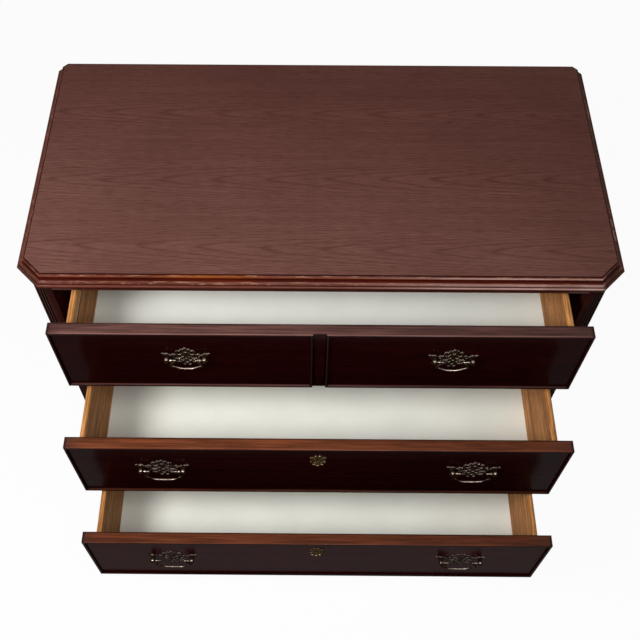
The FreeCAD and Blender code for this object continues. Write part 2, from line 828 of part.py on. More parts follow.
def pull_bail(drawer, centre):
    """The hanging bail: a bowed round bar, knobs at its shoulders, a collar and a pin at each end."""
    axis = centre - V(0, post_reach, 0)
    collar_out = drawer.bore / 2 - post_ball_radius - collar_gap
    collar_in = collar_out - collar_length
    neck = collar_in - bail_neck_reach
    shoulder = neck + bail_flare
    foot = shoulder - bail_foot_inset
    right = [V(collar_in, 0, 0), V(neck, 0, 0), V(shoulder, 0, -drawer.bail_shoulder),
             V(foot, 0, -drawer.bail_drop)]
    left = [V(-p.x, 0, p.z) for p in reversed(right)]
    bends = [bail_neck_bend, bail_shoulder_bend, bail_foot_bend]
    bar = bent_bar([axis + p for p in right + left], bends + bends[::-1], bail_radius)
    ends = []
    for side in (-1, 1):
        inner = axis + V(side * collar_in, 0, 0)
        outer = axis + V(side * collar_out, 0, 0)
        tip = axis + V(side * (drawer.bore / 2 + pin_past_centre), 0, 0)
        knob = axis + V(side * (shoulder - bail_radius), 0, -drawer.bail_shoulder)
        ends += [cylinder(collar_radius, inner, outer), cylinder(pin_radius, outer, tip)]
        ends.append(Part.makeSphere(bail_knob_radius, knob))
    return bar[0].fuse(bar[1:] + ends).removeSplitter().Solids[0]


def keyhole(start, depth):
    """A round eye over a straight slot, cut back from the face."""
    eye = cylinder(keyhole_radius, start, start + V(0, depth, 0))
    half = keyhole_slot_width / 2
    slot = block(start.x - half, start.x + half, start.y, start.y + depth,
                 start.z - keyhole_slot_length, start.z)
    return eye.fuse(slot)


def escutcheon(drawer):
    """An upright key plate with raised lobes round its rim and small piercings between them."""
    at = V(0, 0, drawer.top - escutcheon_drop)
    w = escutcheon_half_width
    right = [(0.32 * w, escutcheon_rise), (w, 0.5 * escutcheon_rise), (w, -0.38 * escutcheon_fall),
             (0.68 * w, -0.84 * escutcheon_fall)]
    spots = right + [(0.0, -escutcheon_fall)] + [(-x, z) for x, z in reversed(right)]
    plate = prism_front([(x, at.z + z) for x, z in spots], -escutcheon_thickness, 0)
    lobes = []
    for x, z in spots:
        spot = at + V(x, 0, z)
        lobes.append(cylinder(lobe_radius, spot, spot - V(0, escutcheon_thickness + lobe_height, 0)))
    plate = plate.fuse(lobes).removeSplitter()
    eyes = []
    for x, z in ((0.5 * w, 0.35 * escutcheon_rise), (0.5 * w, -0.34 * escutcheon_fall),
                 (0.36 * w, -0.66 * escutcheon_fall)):
        for side in (-1, 1):
            spot = at + V(side * x, 0, z)
            eyes.append(slot_cut(spot, spot, piercing_radius, escutcheon_thickness))
    return plate.cut([keyhole(at - V(0, escutcheon_thickness, 0), escutcheon_thickness)] + eyes)


def pull_centres(drawer):
    """Middles of the two pulls on the face of a drawer front."""
    half = drawer.pull_spacing / 2
    return [V(-half, 0, drawer.pull_height), V(half, 0, drawer.pull_height)]


def front_board(drawer, beads):
    """The front board, let in for its beads and bored for its pulls and key plate."""
    board = block(-front_half, front_half, 0, front_thickness, drawer.bottom, drawer.top)
    cuts = list(beads)
    cuts += both_sides(side_dovetail(drawer, drawer.bottom))
    cuts.append(floor_board(drawer))
    if drawer.halves:
        cuts.append(centre_stile(drawer))
    else:
        cuts.append(keyhole(V(0, 0, drawer.top - escutcheon_drop), keyhole_depth))
    hole = post_shank_radius + post_hole_clearance
    for centre in pull_centres(drawer):
        cuts += [cylinder(hole, p, p + V(0, front_thickness, 0)) for p in post_places(drawer, centre)]
    return board.cut(cuts)


def side_groove(drawer):
    """A shallow groove along the inside of the left side, below its rounded edge."""
    inner = -(box_half - box_side_thickness)
    top = drawer.side_top - side_groove_drop
    return block(inner - side_groove_depth, inner, front_thickness, box_rear() - box_back_inset,
                 top - side_groove_height, top)


def build_drawer(drawer):
    """All pieces of one drawer, drawn with the face of its front on the XZ plane and then pulled out."""
    beads = front_beads(drawer)
    side = side_board(drawer)
    left_side = mirrored(side)
    if drawer.halves:
        left_side = left_side.cut(side_groove(drawer))
    centres = pull_centres(drawer)
    bolts = [place for centre in centres for place in post_places(drawer, centre)]
    nodes = {
        "front": [front_board(drawer, beads)],
        "beads": beads,
        "side_left": [left_side],
        "side_right": [side],
        "back": [back_board(drawer)],
        "bottom": [floor_board(drawer)],
        "pull_plates": [pull_plate(drawer, centre) for centre in centres],
        "pull_posts": [pull_post(place) for place in bolts] + [pull_nut(place) for place in bolts],
        "bail_left": [pull_bail(drawer, centres[0])],
        "bail_right": [pull_bail(drawer, centres[1])],
    }
    if drawer.halves:
        nodes["centre_stile"] = [centre_stile(drawer)]
    else:
        nodes["escutcheon"] = [escutcheon(drawer)]
    for name, pieces in nodes.items():
        for piece in pieces:
            piece.translate(V(0, case_front - drawer.pull_out, 0))
        save(drawer.name + "_" + name, pieces)


os.makedirs("parts", exist_ok=True)
build_top()
build_rails()
build_posts()
build_sides_and_back()
build_cleats_and_screws()
build_runners()
build_base()
for each_drawer in drawers:
    build_drawer(each_drawer)
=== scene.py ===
import json
import math

import bmesh
import bpy
from mathutils import Matrix, Vector

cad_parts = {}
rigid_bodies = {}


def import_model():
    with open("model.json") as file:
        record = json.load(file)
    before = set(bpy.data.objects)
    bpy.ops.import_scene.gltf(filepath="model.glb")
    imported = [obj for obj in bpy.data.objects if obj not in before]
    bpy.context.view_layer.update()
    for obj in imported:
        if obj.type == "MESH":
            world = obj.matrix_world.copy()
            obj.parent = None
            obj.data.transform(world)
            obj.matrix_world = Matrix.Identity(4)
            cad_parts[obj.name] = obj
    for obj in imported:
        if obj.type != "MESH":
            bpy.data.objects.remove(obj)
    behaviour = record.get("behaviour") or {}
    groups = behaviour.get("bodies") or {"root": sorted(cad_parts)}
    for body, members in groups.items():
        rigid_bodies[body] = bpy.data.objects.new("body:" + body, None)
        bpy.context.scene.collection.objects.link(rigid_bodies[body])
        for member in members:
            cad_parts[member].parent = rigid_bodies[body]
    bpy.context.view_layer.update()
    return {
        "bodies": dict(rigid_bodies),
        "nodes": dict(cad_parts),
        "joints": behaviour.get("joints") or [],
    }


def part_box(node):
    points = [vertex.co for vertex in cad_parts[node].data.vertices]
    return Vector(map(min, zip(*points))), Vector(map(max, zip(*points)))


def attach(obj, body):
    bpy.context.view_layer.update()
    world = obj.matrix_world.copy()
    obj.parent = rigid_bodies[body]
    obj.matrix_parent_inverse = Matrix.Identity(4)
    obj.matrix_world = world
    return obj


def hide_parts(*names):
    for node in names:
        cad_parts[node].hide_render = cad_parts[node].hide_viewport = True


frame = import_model()
nodes = frame["nodes"]
scene = bpy.context.scene
DRAWERS = ("top_drawer", "middle_drawer", "bottom_drawer")
SIDES = ("left", "right")

node_body = {}
for body_name, empty in frame["bodies"].items():
    for node_name, obj in nodes.items():
        if obj.parent is empty:
            node_body[node_name] = body_name


# Lengths are in metres. Colours are linear red, green and blue, and opacity where there is a fourth number.

# Node helpers
class Graph:
    """A small builder for one material's node tree."""

    def __init__(self, name):
        self.material = bpy.data.materials.new(name)
        self.material.use_nodes = True
        self.tree = self.material.node_tree
        self.tree.nodes.clear()
        output = self.node("ShaderNodeOutputMaterial")
        self.bsdf = self.node("ShaderNodeBsdfPrincipled")
        self.link(self.bsdf.outputs["BSDF"], output.inputs["Surface"])
        self.place = self.node("ShaderNodeTexCoord").outputs["Object"]

    def node(self, kind, **settings):
        made = self.tree.nodes.new(kind)
        for key, value in settings.items():
            setattr(made, key, value)
        return made

    def link(self, source, target):
        self.tree.links.new(source, target)

    def feed(self, socket, value):
        """Link a socket or set a constant."""
        if isinstance(value, bpy.types.NodeSocket):
            self.link(value, socket)
        else:
            socket.default_value = value

    def texture(self, scale, detail, rough, distortion=0.0, stretch=(1, 1, 1), shift=(0, 0, 0)):
        """Noise in object coordinates, drawn out along an axis where stretch is small."""
        moved = self.node("ShaderNodeMapping")
        self.link(self.place, moved.inputs["Vector"])
        moved.inputs["Scale"].default_value = stretch
        moved.inputs["Location"].default_value = shift
        made = self.node("ShaderNodeTexNoise")
        self.link(moved.outputs["Vector"], made.inputs["Vector"])
        made.inputs["Scale"].default_value = scale
        made.inputs["Detail"].default_value = detail
        made.inputs["Roughness"].default_value = rough
        made.inputs["Distortion"].default_value = distortion
        return made.outputs["Fac"]

    def grain(self, along, run, **settings):
        """Noise drawn out along one axis, the more the smaller run is."""
        stretch = [1.0, 1.0, 1.0]
        stretch["XYZ".index(along)] = run
        return self.texture(stretch=stretch, **settings)

    def ramp(self, value, stops):
        """A colour ramp; stops are (position, colour or grey)."""
        made = self.node("ShaderNodeValToRGB")
        self.link(value, made.inputs["Fac"])
        elements = made.color_ramp.elements
        while len(elements) < len(stops):
            elements.new(0.5)
        for element, (position, colour) in zip(elements, stops):
            element.position = position
            if isinstance(colour, (int, float)):
                colour = (colour, colour, colour)
            element.color = (*colour, 1.0)
        return made.outputs["Color"]

    def math(self, operation, a, b=0.0, c=0.0):
        made = self.node("ShaderNodeMath", operation=operation)
        for socket, value in zip(made.inputs, (a, b, c)):
            self.feed(socket, value)
        return made.outputs["Value"]

    def times(self, a, b):
        return self.math("MULTIPLY", a, b)

    def larger(self, a, b):
        return self.math("MAXIMUM", a, b)

    def mix(self, factor, a, b, blend="MIX"):
        """Colour a with colour b blended in by a factor."""
        made = self.node("ShaderNodeMix", data_type="RGBA", blend_type=blend)
        self.feed(made.inputs["Factor"], factor)
        for key, value in (("A", a), ("B", b)):
            socket = [s for s in made.inputs if s.name == key and s.type == "RGBA"][0]
            self.feed(socket, value if isinstance(value, bpy.types.NodeSocket) else (*value, 1.0))
        return [s for s in made.outputs if s.type == "RGBA"][0]

    def part(self, vector, letter):
        """One coordinate of a vector."""
        made = self.node("ShaderNodeSeparateXYZ")
        self.link(vector, made.inputs["Vector"])
        return made.outputs["XYZ".index(letter)]

    def axis(self, letter):
        """One object coordinate."""
        return self.part(self.place, letter)

    def facing(self, letter):
        """One coordinate of the surface normal."""
        return self.part(self.node("ShaderNodeNewGeometry").outputs["Normal"], letter)

    def band(self, value, low, high):
        """0 at low, 1 at high, smooth between."""
        made = self.node("ShaderNodeMapRange", interpolation_type="SMOOTHSTEP")
        self.feed(made.inputs["Value"], value)
        made.inputs["From Min"].default_value = low
        made.inputs["From Max"].default_value = high
        return made.outputs["Result"]

    def hump(self, value, start, end, soft):
        """1 between start and end, falling to 0 over a soft margin."""
        rise = self.band(value, start - soft, start)
        fall = self.band(value, end + soft, end)
        return self.times(rise, fall)

    def bump(self, height, strength, distance):
        made = self.node("ShaderNodeBump")
        made.inputs["Strength"].default_value = strength
        made.inputs["Distance"].default_value = distance
        self.link(height, made.inputs["Height"])
        self.link(made.outputs["Normal"], self.bsdf.inputs["Normal"])

    def set(self, **values):
        for key, value in values.items():
            self.feed(self.bsdf.inputs[key.replace("_", " ")], value)


def shade(colour, factor):
    """A colour made lighter or darker by a factor."""
    return tuple(factor * part for part in colour)


# Sawn wood
FIBRE = dict(run=0.02, scale=420.0, detail=4.0, rough=0.65)
STREAK = dict(run=0.03, scale=75.0, detail=4.0, rough=0.6, distortion=0.3)
DASH = dict(run=0.10, scale=480.0, detail=2.0, rough=0.5)
PORES = dict(run=0.035, scale=900.0, detail=2.0, rough=0.6)
PORE_LIMITS = (0.58, 0.70)
PORE_SHADE = 0.35
CLOUD = dict(scale=5.0, detail=3.0, rough=0.5)
CLOUD_LIMITS = (0.35, 0.7)
CLOUD_SHARE = 0.25
ROUGH_LIMITS = (0.3, 0.7)
FIBRE_HEIGHT = 0.5
GRAIN_BUMP = dict(strength=0.25, distance=0.0004)

RING_WANDER = dict(run=0.16, scale=6.0, detail=3.0, rough=0.55)
RING_SLOW = dict(run=0.4, scale=2.2, detail=2.0, rough=0.5, shift=(3.1, 1.7, 4.3))
RING_FINE = dict(run=0.06, scale=90.0, detail=3.0, rough=0.6)
RING_SWAY = 0.04
RING_CURVE = 25.0
RING_DRIFT = 0.03
RING_FRAY = 0.45
RING_TONES = [(0.0, 0.52), (0.66, 0.60), (0.88, 0.22), (1.0, 0.50)]
# Whole leaves added to a place across the board, so that it is positive.
LEAVES_ASIDE = 10.0


def rings(g, along, across, leaf, middle, pith, tilt, spacing):
    """Growth rings as arches about the middle of each leaf of the board: 0 to 1 in each ring."""
    sway = g.math("MULTIPLY_ADD", g.grain(along, **RING_WANDER), RING_SWAY, -RING_SWAY / 2)
    side = g.math("ADD", g.math("ADD", g.axis(across), sway), LEAVES_ASIDE * leaf - middle)
    from_middle = g.math("PINGPONG", side, leaf / 2)
    square = g.times(from_middle, from_middle)
    blunt = g.math("SQRT", g.math("ADD", square, pith * pith))
    arch = g.math("MULTIPLY_ADD", square, RING_CURVE, blunt)
    drift = g.times(g.grain(along, **RING_SLOW), RING_DRIFT)
    run = g.math("MULTIPLY_ADD", g.axis(along), -tilt, drift)
    fray = g.times(g.grain(along, **RING_FINE), RING_FRAY)
    phase = g.math("MULTIPLY_ADD", g.math("ADD", arch, run), 1.0 / spacing, fray)
    return g.math("FRACT", phase)


def wood(name, tones, along, across, finish=None, leaf=0.2, middle=0.0, pith=0.008, tilt=0.11,
         spacing=0.006, ring=0.2, fibre_share=0.3, dash_share=0.2, spread=0.12, pore=0.5,
         rough=(0.3, 0.45), specular=0.3, coat=0.0, coat_rough=0.15):
    """Sawn wood in a dark, a middle and a light tone: rings, streaks, fibres, dashes, clouds and pores."""
    dark, mid, light = tones
    g = Graph(name)
    fibre = g.grain(along, **FIBRE)
    streak = g.grain(along, **STREAK)
    dash = g.grain(along, **DASH)
    pores = g.grain(along, **PORES)
    cloud = g.texture(**CLOUD)
    streak_share = 1.0 - ring - fibre_share - dash_share
    tone = g.math("MULTIPLY_ADD", dash, dash_share, g.times(fibre, fibre_share))
    tone = g.math("MULTIPLY_ADD", streak, streak_share, tone)
    if ring:
        cut = rings(g, along, across, leaf, middle, pith, tilt, spacing)
        tone = g.math("MULTIPLY_ADD", g.ramp(cut, RING_TONES), ring, tone)
    base = g.ramp(tone, [(0.5 - spread, dark), (0.5, mid), (0.5 + spread, light)])
    base = g.mix(g.times(g.band(cloud, *CLOUD_LIMITS), CLOUD_SHARE), base, dark)
    pit = g.times(g.band(pores, *PORE_LIMITS), pore)
    base = g.mix(pit, base, shade(dark, PORE_SHADE))
    if finish:
        base = finish(g, base, fibre)
    g.set(Base_Color=base, Specular_IOR_Level=specular, Coat_Weight=coat, Coat_Roughness=coat_rough)
    g.set(Roughness=g.ramp(fibre, list(zip(ROUGH_LIMITS, rough))))
    g.bump(g.math("SUBTRACT", g.times(fibre, FIBRE_HEIGHT), pit), **GRAIN_BUMP)
    return g.material


# Field of the top
FIELD_SLANT = 0.22
FIELD_LIMITS = (-0.22, 0.20)
# Painted shade: the field darkens towards the back right corner, as the light falls off.
FIELD_FALLOFF_SHADE = (0.86, 0.74, 0.72)
FIELD_UPRIGHT = (0.8, 0.3)
# Painted shade with dirt on the field's upright edge in the quirk.
FIELD_EDGE_SHADE_AND_DIRT = (0.010, 0.002, 0.0015)


def top_field(g, base, fibre):
    """The field of the top: painted shade, darker towards the back right corner, and painted shade with dirt,
    nearly black on its upright edge.
    """
    slant = g.math("MULTIPLY_ADD", g.axis("X"), FIELD_SLANT, g.axis("Y"))
    darker = g.mix(1.0, base, FIELD_FALLOFF_SHADE, "MULTIPLY")
    toned = g.mix(g.band(slant, *FIELD_LIMITS), base, darker)
    return g.mix(g.band(g.facing("Z"), *FIELD_UPRIGHT), toned, FIELD_EDGE_SHADE_AND_DIRT)


# Beads round the drawer fronts
BEAD_FIBRE_LIMITS = (0.38, 0.62)
BEAD_FIBRE_SHADES = (0.62, 1.37)
BEAD_STREAK = dict(run=0.05, scale=160.0, detail=4.0, rough=0.65)
BEAD_STREAK_LIMITS = (0.50, 0.64)
BEAD_STREAK_SHADE = 0.42
BEAD_STREAK_SHARE = 0.5
# Painted highlight along the front arris of the bead tops.
ARRIS_START = 0.0014
ARRIS_END = 0.0030
ARRIS_SOFT = 0.0006
ARRIS_FIBRE_LIMITS = (0.30, 0.50)
ARRIS_SHADE = 2.2
ARRIS_LIFT = 0.02
# Painted shade: the bead tops darken towards the right and more at the right end, as the light falls off. The
# left end is darker too.
RIGHTWARD_SHADE_LIMITS = (-0.25, 0.45)
RIGHTWARD_SHADE_SHARE = 0.28
BLACK = (0, 0, 0)
RIGHT_END_FROM = 0.060
RIGHT_END_FULL = 0.008
RIGHT_END_SHARE = 0.35
LEFT_END_FROM = 0.035
LEFT_END_FULL = 0.004
LEFT_END_SHARE = 0.55
END_DARK = (0.050, 0.020, 0.016)
# Darker rims along the outer ends and the back edge of the bead tops.
OUTER_RIM_FROM = 0.0070
OUTER_RIM_FULL = 0.0020
BACK_RIM_FROM = 0.0034
BACK_RIM_FULL = 0.0010
RIM_SHARE = 0.8
RIM_DARK = (0.016, 0.0055, 0.0042)
UPPER_RUN_DEPTH = 0.02
UPPER_RUN_STEP = 0.001
BEAD_LEVEL = (0.75, 0.97)


def upper_faces(colour, node, low_share, arris_share):
    """A finish for a drawer's beads: the upper run is paler on top, the lower run by a share of that, with a
    painted highlight along the front arris and painted shade towards the right.
    """
    low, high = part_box(node)
    front = low[1]
    half, back, top = high
    upper = top - UPPER_RUN_DEPTH

    def finish(g, base, fibre):
        pale = g.mix(g.band(fibre, *BEAD_FIBRE_LIMITS), *[shade(colour, s) for s in BEAD_FIBRE_SHADES])
        streak = g.band(g.grain("X", **BEAD_STREAK), *BEAD_STREAK_LIMITS)
        pale = g.mix(g.times(streak, BEAD_STREAK_SHARE), pale, shade(colour, BEAD_STREAK_SHADE))
        line = g.hump(g.axis("Y"), front + ARRIS_START, front + ARRIS_END, ARRIS_SOFT)
        arris = g.times(line, g.band(fibre, *ARRIS_FIBRE_LIMITS))
        light = tuple(part + ARRIS_LIFT for part in shade(colour, ARRIS_SHADE))
        pale = g.mix(g.times(arris, arris_share), pale, light)
        # Painted shade towards the right and at the right end.
        rightward_shade = g.band(g.axis("X"), *RIGHTWARD_SHADE_LIMITS)
        pale = g.mix(g.times(rightward_shade, RIGHTWARD_SHADE_SHARE), pale, BLACK)
        right_end = g.band(g.axis("X"), half - RIGHT_END_FROM, half - RIGHT_END_FULL)
        pale = g.mix(g.times(right_end, RIGHT_END_SHARE), pale, END_DARK)
        left_end = g.band(g.axis("X"), LEFT_END_FROM - half, LEFT_END_FULL - half)
        pale = g.mix(g.times(left_end, LEFT_END_SHARE), pale, END_DARK)
        outside = g.math("ABSOLUTE", g.axis("X"))
        outer_rim = g.band(outside, half - OUTER_RIM_FROM, half - OUTER_RIM_FULL)
        back_rim = g.band(g.axis("Y"), back - BACK_RIM_FROM, back - BACK_RIM_FULL)
        pale = g.mix(g.times(g.larger(outer_rim, back_rim), RIM_SHARE), pale, RIM_DARK)
        is_upper = g.band(g.axis("Z"), upper, upper + UPPER_RUN_STEP)
        share = g.math("MULTIPLY_ADD", is_upper, 1.0 - low_share, low_share)
        return g.mix(g.times(g.band(g.facing("Z"), *BEAD_LEVEL), share), base, pale)
    return finish


STILE_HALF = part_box("top_drawer_centre_stile")[1][0]
# Painted highlights on the crests of the beads beside the stile.
STILE_CREST_START = 0.0008
STILE_CREST_END = 0.0022
STILE_CREST_SOFT = 0.0006
STILE_CREST_SHARE = 0.8
STILE_CREST_HIGHLIGHT = (0.030, 0.0105, 0.0088)
# Painted shade in the gaps where the beads meet the stile.
STILE_GAP_SHADE_WIDTH = 0.0022
STILE_GAP_SHADE_SOFT = 0.0012
STILE_GAP_SHADE = (0.002, 0.0004, 0.0003)
TOP_BEAD = (0.095, 0.0408, 0.0339)
top_drawer_faces = upper_faces(TOP_BEAD, "top_drawer_beads", low_share=0.35, arris_share=0.75)


def beside_stile(g, base, fibre):
    """The top drawer's beads and stile: painted shade in dark lines where they meet, painted highlights on
    the crests of the beads beside them.
    """
    aside = g.math("ABSOLUTE", g.axis("X"))
    crest = g.hump(aside, STILE_HALF + STILE_CREST_START, STILE_HALF + STILE_CREST_END, STILE_CREST_SOFT)
    toned = g.mix(g.times(crest, STILE_CREST_SHARE), base, STILE_CREST_HIGHLIGHT)
    gap_shade = g.hump(aside, STILE_HALF - STILE_GAP_SHADE_WIDTH, STILE_HALF, STILE_GAP_SHADE_SOFT)
    toned = g.mix(gap_shade, toned, STILE_GAP_SHADE)
    return top_drawer_faces(g, toned, fibre)


# Moulded edge of the top. Heights on it run from 0 at its lower to 1 at its upper arris.
TOP_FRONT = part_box("top_edge_front")[0][1]
TOP_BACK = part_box("top_edge_back")[1][1]
CLIP_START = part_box("top_edge_front")[1][0]
EDGE_LOW = 0.786
EDGE_HIGH = 0.810
EDGE_TALL = EDGE_HIGH - EDGE_LOW
# The tones across the profile are painted shade in the hollows and under the lower round, with dirt in the
# quirks, and painted highlights on the crests of the rounds.
EDGE_TONES = [
    (0.00, (0.14, 0.06, 0.03)), (0.09, (0.22, 0.11, 0.06)), (0.17, (0.36, 0.26, 0.21)),
    (0.25, (0.62, 0.56, 0.52)), (0.29, (1.10, 1.25, 1.30)), (0.33, (1.35, 1.65, 1.80)),
    (0.35, (0.50, 0.36, 0.26)), (0.41, (0.55, 0.40, 0.26)), (0.42, (1.30, 1.65, 1.80)),
    (0.46, (1.20, 1.40, 1.50)), (0.51, (0.62, 0.36, 0.22)), (0.55, (0.40, 0.10, 0.02)),
    (0.71, (0.36, 0.09, 0.015)), (0.745, (0.60, 0.30, 0.14)), (0.77, (1.10, 0.98, 0.74)),
    (0.85, (1.45, 1.45, 1.32)), (0.92, (1.20, 1.20, 1.08)), (0.95, (0.40, 0.24, 0.15)),
    (0.97, (0.18, 0.08, 0.04)),
]
FRONT_RUN_ENDS = 0.030
FRONT_RUN_FULL = 0.016
CLIP_SOFT = 0.004
SIDE_RUN_START = 0.045
SIDE_RUN_STOP = 0.020
SIDE_RUN_SOFT = 0.006
# Off the front run the edge is darker, most on the clipped corners and back, less on the sides.
OFF_FRONT_SHARE = 0.45
OFF_FRONT_LESS_ON_SIDES = -0.38
OFF_FRONT_DARK = (0.010, 0.0022, 0.0014)
AMBER_ENDS = (-0.22, -0.15)
AMBER_SOFT = 0.07
AMBER_HEIGHTS = (0.48, 0.56)
AMBER = (1.6, 1.6, 0.6)
LOW_CREST = dict(start=0.29, end=0.33, soft=0.02)
HIGH_CREST = dict(start=0.83, end=0.88, soft=0.04)
MIDDLE_CREST = dict(start=0.42, end=0.45, soft=0.02)
MIDDLE_CREST_SHARE = 0.6
# Painted highlights: glints on the crests of the rounds in front, strongest towards the right.
GLINT_TEXTURE = dict(stretch=(0.3, 0.3, 1), scale=30.0, detail=4.0, rough=0.6)
GLINT_LIMITS = (0.35, 0.65)
GLINT_LEAST = 0.5
GLINT_ENDS = (-0.02, 0.36)
GLINT_COLOUR = (0.40, 0.26, 0.23)
SCUFF_TEXTURE = dict(stretch=(0.10, 0.10, 1.6), scale=320.0, detail=5.0, rough=0.75)
SCUFF_LIMITS = (0.50, 0.63)
PATCH_TEXTURE = dict(stretch=(1, 1, 0.2), shift=(2.0, 0.4, 0.0), scale=8.0, detail=3.0, rough=0.6)
PATCH_LIMITS = (0.34, 0.52)
LOW_ARRIS = dict(start=0.42, end=0.48, soft=0.02)
HIGH_ARRIS = dict(start=0.89, end=0.94, soft=0.02)
SCUFF_ELSEWHERE = 0.45
SCUFF_SHARE = 0.7
SCUFF = (0.36, 0.19, 0.12)
CHIP_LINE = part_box("top_edge_sides")[1][0] - 0.0075
CHIP_WIDTH = 0.0022
CHIP_SOFT = 0.0008
CHIP_ENDS = ((-0.160, -0.120), (0.124, 0.138))
CHIP_END_SOFT = 0.006
RAGGED_TEXTURE = dict(stretch=(1, 0.35, 1), scale=260.0, detail=3.0, rough=0.6)
RAGGED_LIMITS = (0.36, 0.50)
CHIP = (0.30, 0.17, 0.11)


def moulded_edge(g, base, fibre):
    """Tones across the moulded edge, with painted shade and painted highlights across its profile: amber and
    painted glints in front, scuffs all round, two chips on the right.
    """
    height = g.math("MULTIPLY_ADD", g.axis("Z"), 1.0 / EDGE_TALL, -EDGE_LOW / EDGE_TALL)
    toned = g.mix(1.0, base, g.ramp(height, EDGE_TONES), "MULTIPLY")
    front = g.band(g.axis("Y"), TOP_FRONT + FRONT_RUN_ENDS, TOP_FRONT + FRONT_RUN_FULL)
    outside = g.math("ABSOLUTE", g.axis("X"))
    front = g.times(front, g.band(outside, CLIP_START + CLIP_SOFT, CLIP_START - CLIP_SOFT))

    sides = g.hump(g.axis("Y"), TOP_FRONT + SIDE_RUN_START, TOP_BACK - SIDE_RUN_STOP, SIDE_RUN_SOFT)
    off_front = g.math("MULTIPLY_ADD", sides, OFF_FRONT_LESS_ON_SIDES, OFF_FRONT_SHARE)
    toned = g.mix(g.times(g.math("SUBTRACT", 1.0, front), off_front), toned, OFF_FRONT_DARK)

    amber = g.times(g.hump(g.axis("X"), *AMBER_ENDS, AMBER_SOFT), g.band(height, *AMBER_HEIGHTS))
    toned = g.mix(g.times(amber, front), toned, AMBER, "MULTIPLY")

    crest = g.larger(g.hump(height, **LOW_CREST), g.hump(height, **HIGH_CREST))
    crest = g.larger(crest, g.times(g.hump(height, **MIDDLE_CREST), MIDDLE_CREST_SHARE))
    glint_mask = g.band(g.texture(**GLINT_TEXTURE), *GLINT_LIMITS)
    glint_mask = g.math("MULTIPLY_ADD", glint_mask, 1.0 - GLINT_LEAST, GLINT_LEAST)
    glint_mask = g.times(g.times(glint_mask, front), g.band(g.axis("X"), *GLINT_ENDS))
    toned = g.mix(g.times(crest, glint_mask), toned, GLINT_COLOUR)

    scuff = g.band(g.texture(**SCUFF_TEXTURE), *SCUFF_LIMITS)
    scuff = g.times(scuff, g.band(g.texture(**PATCH_TEXTURE), *PATCH_LIMITS))
    scuff = g.times(scuff, g.larger(g.hump(height, **LOW_ARRIS), g.hump(height, **HIGH_ARRIS)))
    scuff = g.times(scuff, g.larger(front, SCUFF_ELSEWHERE))
    toned = g.mix(g.times(scuff, SCUFF_SHARE), toned, SCUFF)

    chips = g.larger(*[g.hump(g.axis("Y"), *ends, CHIP_END_SOFT) for ends in CHIP_ENDS])
    chips = g.times(chips, g.hump(g.axis("X"), CHIP_LINE, CHIP_LINE + CHIP_WIDTH, CHIP_SOFT))
    chips = g.times(chips, g.band(g.texture(**RAGGED_TEXTURE), *RAGGED_LIMITS))
    return g.mix(chips, toned, CHIP)


# Canted corner posts
CASE_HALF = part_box("corner_post_right")[1][0]
CASE_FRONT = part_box("corner_post_right")[0][1]
POST_CANT = 0.0327
POST_FACE = (CASE_HALF - CASE_FRONT - POST_CANT) / math.sqrt(2)
POST_MARGIN = 0.0015
POST_SOFT = 0.001
# Painted highlights on the lands and painted shade in the flutes.
LAND_HIGHLIGHT_FROM = 0.0006
LAND_HIGHLIGHT_FULL = 0.0001
LAND_HIGHLIGHT_SHARE = 0.8
LAND_HIGHLIGHT = (0.085, 0.036, 0.027)
FLUTE_SHADE_FROM = 0.0003
FLUTE_SHADE_FULL = 0.0012
FLUTE_SHADE = (0.004, 0.0012, 0.0009)


def fluted_face(g, base, fibre):
    """Painted shade, nearly black, in the flutes of a canted corner, with thin painted highlights on the
    lands between them.
    """
    outside = g.math("ABSOLUTE", g.axis("X"))
    outward = g.times(g.math("SUBTRACT", outside, g.axis("Y")), 1.0 / math.sqrt(2))
    inner = CASE_HALF - POST_CANT + POST_MARGIN
    behind = CASE_FRONT + POST_CANT - POST_MARGIN
    canted = g.band(outside, inner, inner + POST_SOFT)
    canted = g.times(canted, g.band(g.axis("Y"), behind, behind - POST_SOFT))
    flute = g.times(canted, g.band(outward, POST_FACE - FLUTE_SHADE_FROM, POST_FACE - FLUTE_SHADE_FULL))
    land = g.times(canted, g.band(outward, POST_FACE - LAND_HIGHLIGHT_FROM, POST_FACE - LAND_HIGHLIGHT_FULL))
    toned = g.mix(g.times(land, LAND_HIGHLIGHT_SHARE), base, LAND_HIGHLIGHT)
    return g.mix(flute, toned, FLUTE_SHADE)


# Oak sides of the drawers
OAK_TOP_LIMITS = (0.38, 0.62)
OAK_TOP_DARK = (0.22, 0.085, 0.024)
OAK_TOP_LIGHT = (0.56, 0.26, 0.085)
OAK_TOP_LEVEL = (0.45, 0.98)
OAK_TOP_SHARE = 0.7
GROOVE_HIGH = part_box("top_drawer_side_left")[1][2] - 0.024
GROOVE_LOW = GROOVE_HIGH - 0.006
GROOVE_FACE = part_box("top_drawer_side_left")[1][0] - 0.0003
GROOVE_SOFT = 0.0005
# Painted shade in the groove's hollow, painted light above it and a painted highlight on its arris.
GROOVE_SHADE = (0.006, 0.004, 0.003)
ABOVE_GROOVE_RISE = 0.006
ABOVE_GROOVE_UPRIGHT = (0.8, 0.4)
ABOVE_GROOVE_SHARE = 0.7
ABOVE_GROOVE_LIT = (0.80, 0.38, 0.12)
GROOVE_ARRIS_START = 0.0005
GROOVE_ARRIS_END = 0.0025
GROOVE_ARRIS_SOFT = 0.001
GROOVE_ARRIS_HIGHLIGHT = (0.85, 0.72, 0.50)


def oak_edges(g, base, fibre):
    """Drawer sides: a paler top edge."""
    pale = g.mix(g.band(fibre, *OAK_TOP_LIMITS), OAK_TOP_DARK, OAK_TOP_LIGHT)
    return g.mix(g.times(g.band(g.facing("Z"), *OAK_TOP_LEVEL), OAK_TOP_SHARE), base, pale)


